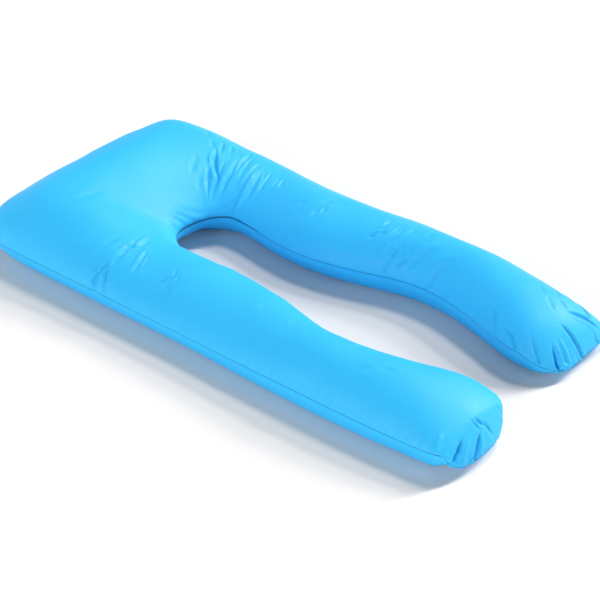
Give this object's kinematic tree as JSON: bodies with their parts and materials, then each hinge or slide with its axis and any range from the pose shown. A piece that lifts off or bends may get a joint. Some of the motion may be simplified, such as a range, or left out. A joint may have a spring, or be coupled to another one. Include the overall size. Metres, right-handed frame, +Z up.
{
  "type": "u-shaped body pillow",
  "caption": "Filled cloth body pillow lying flat: a broad square-cornered head end, long soft legs with an arched gap between them, and top and base panels sewn together all round.",
  "frame": {"origin": "middle of the pillow's bounding box, on the surface it rests on", "axes": "+Z up from the surface, +Y from the legs' ends towards the head end, +X across the legs"},
  "size_m": [0.7182, 1.446, 0.2124],
  "materials": {
    "cover": "smooth closely woven cloth, bright sky blue, with a faint sheen"
  },
  "bodies": {
    "root": {"pillow": "cover"}
  },
  "joints": []
}
